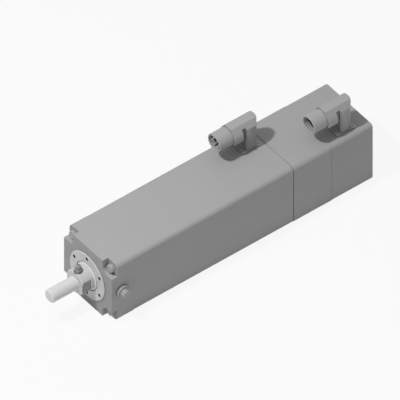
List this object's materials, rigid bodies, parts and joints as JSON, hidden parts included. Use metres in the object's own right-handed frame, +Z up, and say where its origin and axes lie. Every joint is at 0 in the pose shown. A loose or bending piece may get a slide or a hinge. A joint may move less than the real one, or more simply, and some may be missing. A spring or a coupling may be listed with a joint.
{
  "type": "electric cylinder",
  "caption": "Electric servo cylinder: square housing with a hollow-rotor motor, ball screw and brake, a threaded piston rod in a round guide cover, and angled swivel sockets on top.",
  "frame": {"origin": "centre of the front flange's face, on the axis of the piston rod", "axes": "+X along the rod's axis, the way it moves out; +Z up, the side with the sockets; +Y the side with the breather"},
  "size_m": [0.4085, 0.0925, 0.1214],
  "materials": {
    "housing_aluminium": "fine matt, anodised",
    "flange_aluminium": "fine matt, anodised",
    "guide_steel": "turned, satin",
    "rod_chrome": "ground and hard chromed",
    "seal_rubber": "matt",
    "wiper_plastic": "matt",
    "bumper_elastomer": "matt",
    "bush_bronze": "bored, dull",
    "screw_steel": "plated, dull",
    "bearing_steel": "ground",
    "ball_steel": "polished",
    "turned_steel": "turned",
    "stator_sheets": "stacked sheets",
    "coil_copper": "enamelled wire",
    "magnet_grey": "plated",
    "brake_iron": "blackened",
    "spring_steel": "bright",
    "friction_lining": "rough",
    "sensor_plastic": "moulded",
    "breather_steel": "turned",
    "nipple_steel": "plated",
    "socket_metal": "satin plated",
    "insert_plastic": "moulded",
    "pin_brass": "plated"
  },
  "bodies": {
    "housing": {"front_flange": "flange_aluminium", "stator_housing": "housing_aluminium", "housing_gasket": "seal_rubber", "brake_housing": "flange_aluminium", "rear_cover": "housing_aluminium", "flange_screws": "screw_steel", "rear_tie_screws": "screw_steel", "front_o_ring": "seal_rubber", "rod_guide_cover": "guide_steel", "wiper_ring": "wiper_plastic", "rod_seal": "seal_rubber", "guide_bush": "bush_bronze", "front_bumper": "bumper_elastomer", "front_bearing_outer": "bearing_steel", "stator_core": "stator_sheets", "stator_coils": "coil_copper", "bearing_shield": "flange_aluminium", "main_bearing_outer": "bearing_steel", "bearing_retainer": "turned_steel", "retainer_screws": "screw_steel", "brake_plate": "brake_iron", "brake_coil_body": "brake_iron", "brake_coil": "coil_copper", "brake_springs": "spring_steel", "brake_screws": "screw_steel", "sensor_stator": "sensor_plastic", "breather_fitting": "breather_steel", "breather_seal": "seal_rubber", "power_socket_gasket": "seal_rubber", "power_socket_base": "socket_metal", "power_socket_screws": "screw_steel", "signal_socket_gasket": "seal_rubber", "signal_socket_base": "socket_metal", "signal_socket_screws": "screw_steel"},
    "rotor": {"rotor_sleeve": "turned_steel", "rotor_magnets": "magnet_grey", "screw_spindle": "turned_steel", "front_bearing_inner": "bearing_steel", "main_bearing_inner": "bearing_steel", "bearing_lock_nut": "turned_steel", "brake_hub": "turned_steel", "brake_friction_disc": "friction_lining", "sensor_rotor": "turned_steel", "rear_bumper": "bumper_elastomer"},
    "rod": {"piston_rod": "rod_chrome", "grease_nipple": "nipple_steel", "ball_nut": "turned_steel"},
    "front_balls": {"front_bearing_balls": "ball_steel"},
    "main_balls": {"main_bearing_balls": "ball_steel"},
    "armature": {"brake_armature": "brake_iron"},
    "power_elbow": {"power_socket_elbow": "socket_metal", "power_socket_barrel": "socket_metal", "power_socket_insert": "insert_plastic", "power_socket_pins": "pin_brass"},
    "signal_elbow": {"signal_socket_elbow": "socket_metal", "signal_socket_barrel": "socket_metal", "signal_socket_insert": "insert_plastic", "signal_socket_pins": "pin_brass"}
  },
  "joints": [
    {"name": "spindle_spin", "type": "hinge", "parent": "housing", "child": "rotor", "pos_m": [-0.14, 0, 0], "axis": [-1, 0, 0], "range_deg": [0, 7200]},
    {"name": "rod_slide", "type": "slide", "parent": "housing", "child": "rod", "axis": [1, 0, 0], "range_m": [0, 0.1]},
    {"name": "front_cage_spin", "type": "hinge", "parent": "housing", "child": "front_balls", "pos_m": [-0.0405, 0, 0], "axis": [-1, 0, 0], "range_deg": [0, 3285]},
    {"name": "main_cage_spin", "type": "hinge", "parent": "housing", "child": "main_balls", "pos_m": [-0.228, 0, 0], "axis": [-1, 0, 0], "range_deg": [0, 2885]},
    {"name": "brake_release", "type": "slide", "parent": "housing", "child": "armature", "axis": [-1, 0, 0], "range_m": [0, 0.0003]},
    {"name": "power_swivel", "type": "hinge", "parent": "housing", "child": "power_elbow", "pos_m": [-0.23, -0.0205, 0.05], "axis": [0, 0, 1], "range_deg": [-150, 150]},
    {"name": "signal_swivel", "type": "hinge", "parent": "housing", "child": "signal_elbow", "pos_m": [-0.3258, 0.0205, 0.05], "axis": [0, 0, 1], "range_deg": [-150, 150]}
  ],
  "couplings": [
    {"joint": "rod_slide", "follows": "spindle_spin", "m_per_rad": 0.00079577},
    {"joint": "front_cage_spin", "follows": "spindle_spin", "ratio": 0.45541},
    {"joint": "main_cage_spin", "follows": "spindle_spin", "ratio": 0.4}
  ]
}
